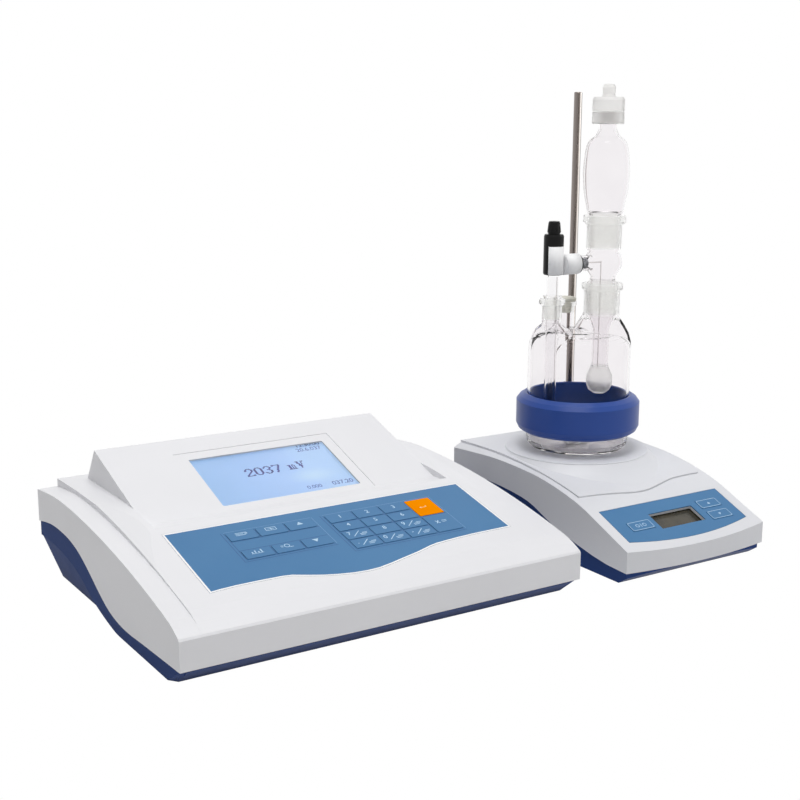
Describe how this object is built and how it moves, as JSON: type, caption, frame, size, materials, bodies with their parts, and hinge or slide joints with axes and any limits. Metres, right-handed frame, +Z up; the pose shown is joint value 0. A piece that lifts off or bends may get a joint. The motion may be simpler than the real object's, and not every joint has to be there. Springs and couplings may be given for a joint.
{
  "type": "automatic titrator",
  "caption": "Benchtop automatic titrator: keypad controller with screen hood, and a magnetic stirrer carrying a ring-held glass titration cell with electrodes.",
  "frame": {"origin": "centre of the footprint's bounding box on the bench", "axes": "+X to the right along both front panels, +Y from front to back, +Z up"},
  "size_m": [0.5706, 0.3292, 0.4244],
  "materials": {
    "housing_white": "fine satin",
    "housing_blue": "fine satin",
    "panel_grey": "satin",
    "black_plastic": "satin",
    "metal": "brushed",
    "window_clear": "polished",
    "screen_blue": "gloss",
    "screen_grey": "gloss",
    "overlay_blue": "fine satin",
    "key_orange": "fine satin",
    "board_green": "satin",
    "feet_rubber": "matte",
    "magnet_grey": "matte",
    "clear_glass": "polished",
    "lead_black": "satin",
    "bar_white": "satin",
    "septum": "matte"
  },
  "bodies": {
    "units": {"controller_cover": "housing_white", "controller_base": "housing_blue", "rear_panel": "panel_grey", "power_inlet": "black_plastic", "electrode_sockets": "metal", "serial_connector": "metal", "display_window": "window_clear", "display_module": "screen_blue", "keypad_overlay": "overlay_blue", "keypad_board": "board_green", "main_board": "board_green", "power_supply": "metal", "rubber_feet": "feet_rubber", "housing_screws": "metal", "stirrer_cover": "housing_white", "stirrer_base": "housing_blue", "stirrer_overlay": "overlay_blue", "stirrer_display": "screen_grey", "stirrer_board": "board_green", "stirrer_motor": "metal", "stirrer_inlet": "black_plastic", "support_rod": "metal"},
    "rocker": {"power_rocker": "black_plastic"},
    "cell": {"cell_ring": "housing_blue", "cell_vessel": "clear_glass"},
    "clamp_knob": {"ring_clamp_knob": "black_plastic"},
    "electrode": {"measuring_electrode": "clear_glass", "electrode_head": "black_plastic", "electrode_cap": "black_plastic"},
    "cathode": {"cathode_chamber": "clear_glass", "cathode_lead": "lead_black"},
    "drying": {"drying_tube": "clear_glass", "drying_tube_cap": "bar_white"},
    "stopper": {"drying_tube_stopper": "bar_white"},
    "septum": {"injection_septum": "septum"},
    "drive": {"drive_magnet": "magnet_grey"},
    "stir": {"stir_bar": "bar_white"},
    "key_number_1_cap": {"key_number_1": "overlay_blue"},
    "key_number_2_cap": {"key_number_2": "overlay_blue"},
    "key_number_3_cap": {"key_number_3": "overlay_blue"},
    "key_number_4_cap": {"key_number_4": "overlay_blue"},
    "key_number_5_cap": {"key_number_5": "overlay_blue"},
    "key_number_6_cap": {"key_number_6": "overlay_blue"},
    "key_number_7_cap": {"key_number_7": "overlay_blue"},
    "key_number_8_cap": {"key_number_8": "overlay_blue"},
    "key_number_9_cap": {"key_number_9": "overlay_blue"},
    "key_number_10_cap": {"key_number_10": "overlay_blue"},
    "key_number_11_cap": {"key_number_11": "overlay_blue"},
    "key_number_12_cap": {"key_number_12": "overlay_blue"},
    "key_select_1_cap": {"key_select_1": "overlay_blue"},
    "key_select_2_cap": {"key_select_2": "overlay_blue"},
    "key_select_3_cap": {"key_select_3": "overlay_blue"},
    "key_select_4_cap": {"key_select_4": "overlay_blue"},
    "key_select_5_cap": {"key_select_5": "overlay_blue"},
    "key_select_6_cap": {"key_select_6": "overlay_blue"},
    "key_enter_cap": {"key_enter": "key_orange"},
    "key_cancel_cap": {"key_cancel": "overlay_blue"},
    "stirrer_key_power_cap": {"stirrer_key_power": "overlay_blue"},
    "stirrer_key_up_cap": {"stirrer_key_up": "overlay_blue"},
    "stirrer_key_down_cap": {"stirrer_key_down": "overlay_blue"}
  },
  "joints": [
    {"name": "key_number_1_press", "type": "slide", "parent": "units", "child": "key_number_1_cap", "axis": [0, 0.2217, -0.9751], "range_m": [0, 0.00035], "stiffness_N_per_m": 900},
    {"name": "key_number_2_press", "type": "slide", "parent": "units", "child": "key_number_2_cap", "axis": [0, 0.2217, -0.9751], "range_m": [0, 0.00035], "stiffness_N_per_m": 900},
    {"name": "key_number_3_press", "type": "slide", "parent": "units", "child": "key_number_3_cap", "axis": [0, 0.2217, -0.9751], "range_m": [0, 0.00035], "stiffness_N_per_m": 900},
    {"name": "key_number_4_press", "type": "slide", "parent": "units", "child": "key_number_4_cap", "axis": [0, 0.2217, -0.9751], "range_m": [0, 0.00035], "stiffness_N_per_m": 900},
    {"name": "key_number_5_press", "type": "slide", "parent": "units", "child": "key_number_5_cap", "axis": [0, 0.2217, -0.9751], "range_m": [0, 0.00035], "stiffness_N_per_m": 900},
    {"name": "key_number_6_press", "type": "slide", "parent": "units", "child": "key_number_6_cap", "axis": [0, 0.2217, -0.9751], "range_m": [0, 0.00035], "stiffness_N_per_m": 900},
    {"name": "key_number_7_press", "type": "slide", "parent": "units", "child": "key_number_7_cap", "axis": [0, 0.2217, -0.9751], "range_m": [0, 0.00035], "stiffness_N_per_m": 900},
    {"name": "key_number_8_press", "type": "slide", "parent": "units", "child": "key_number_8_cap", "axis": [0, 0.2217, -0.9751], "range_m": [0, 0.00035], "stiffness_N_per_m": 900},
    {"name": "key_number_9_press", "type": "slide", "parent": "units", "child": "key_number_9_cap", "axis": [0, 0.2217, -0.9751], "range_m": [0, 0.00035], "stiffness_N_per_m": 900},
    {"name": "key_number_10_press", "type": "slide", "parent": "units", "child": "key_number_10_cap", "axis": [0, 0.2217, -0.9751], "range_m": [0, 0.00035], "stiffness_N_per_m": 900},
    {"name": "key_number_11_press", "type": "slide", "parent": "units", "child": "key_number_11_cap", "axis": [0, 0.2217, -0.9751], "range_m": [0, 0.00035], "stiffness_N_per_m": 900},
    {"name": "key_number_12_press", "type": "slide", "parent": "units", "child": "key_number_12_cap", "axis": [0, 0.2217, -0.9751], "range_m": [0, 0.00035], "stiffness_N_per_m": 900},
    {"name": "key_select_1_press", "type": "slide", "parent": "units", "child": "key_select_1_cap", "axis": [0, 0.2217, -0.9751], "range_m": [0, 0.00035], "stiffness_N_per_m": 900},
    {"name": "key_select_2_press", "type": "slide", "parent": "units", "child": "key_select_2_cap", "axis": [0, 0.2217, -0.9751], "range_m": [0, 0.00035], "stiffness_N_per_m": 900},
    {"name": "key_select_3_press", "type": "slide", "parent": "units", "child": "key_select_3_cap", "axis": [0, 0.2217, -0.9751], "range_m": [0, 0.00035], "stiffness_N_per_m": 900},
    {"name": "key_select_4_press", "type": "slide", "parent": "units", "child": "key_select_4_cap", "axis": [0, 0.2217, -0.9751], "range_m": [0, 0.00035], "stiffness_N_per_m": 900},
    {"name": "key_select_5_press", "type": "slide", "parent": "units", "child": "key_select_5_cap", "axis": [0, 0.2217, -0.9751], "range_m": [0, 0.00035], "stiffness_N_per_m": 900},
    {"name": "key_select_6_press", "type": "slide", "parent": "units", "child": "key_select_6_cap", "axis": [0, 0.2217, -0.9751], "range_m": [0, 0.00035], "stiffness_N_per_m": 900},
    {"name": "key_enter_press", "type": "slide", "parent": "units", "child": "key_enter_cap", "axis": [0, 0.2217, -0.9751], "range_m": [0, 0.00035], "stiffness_N_per_m": 900},
    {"name": "key_cancel_press", "type": "slide", "parent": "units", "child": "key_cancel_cap", "axis": [0, 0.2217, -0.9751], "range_m": [0, 0.00035], "stiffness_N_per_m": 900},
    {"name": "stirrer_key_power_press", "type": "slide", "parent": "units", "child": "stirrer_key_power_cap", "axis": [0, 0.3816, -0.9243], "range_m": [0, 0.00035], "stiffness_N_per_m": 900},
    {"name": "stirrer_key_up_press", "type": "slide", "parent": "units", "child": "stirrer_key_up_cap", "axis": [0, 0.3816, -0.9243], "range_m": [0, 0.00035], "stiffness_N_per_m": 900},
    {"name": "stirrer_key_down_press", "type": "slide", "parent": "units", "child": "stirrer_key_down_cap", "axis": [0, 0.3816, -0.9243], "range_m": [0, 0.00035], "stiffness_N_per_m": 900},
    {"name": "power_switch", "type": "hinge", "parent": "units", "child": "rocker", "pos_m": [-0.1633, 0.15085, 0.0545], "axis": [1, 0, 0], "range_deg": [-14, 0]},
    {"name": "cell_height", "type": "slide", "parent": "units", "child": "cell", "axis": [0, 0, 1], "range_m": [0, 0.15]},
    {"name": "clamp_screw", "type": "hinge", "parent": "cell", "child": "clamp_knob", "pos_m": [0.24113, 0.06852, 0.115], "axis": [0.5476, 0.8368, 0], "range_deg": [0, 180]},
    {"name": "electrode_lift", "type": "slide", "parent": "cell", "child": "electrode", "axis": [0, 0, 1], "range_m": [0, 0.13]},
    {"name": "cathode_lift", "type": "slide", "parent": "cell", "child": "cathode", "axis": [0, 0, 1], "range_m": [0, 0.11]},
    {"name": "drying_lift", "type": "slide", "parent": "cathode", "child": "drying", "axis": [0, 0, 1], "range_m": [0, 0.04]},
    {"name": "stopper_lift", "type": "slide", "parent": "drying", "child": "stopper", "axis": [0, 0, 1], "range_m": [0, 0.02]},
    {"name": "septum_lift", "type": "slide", "parent": "cell", "child": "septum", "axis": [0, 0, 1], "range_m": [0, 0.02]},
    {"name": "drive_spin", "type": "hinge", "parent": "units", "child": "drive", "pos_m": [0.2028, 0.00995, 0.06], "axis": [0, 0, 1], "continuous": true},
    {"name": "stir_spin", "type": "hinge", "parent": "cell", "child": "stir", "pos_m": [0.2028, 0.00995, 0.086], "axis": [0, 0, 1], "continuous": true}
  ],
  "couplings": [
    {"joint": "stir_spin", "follows": "drive_spin", "ratio": 1}
  ]
}
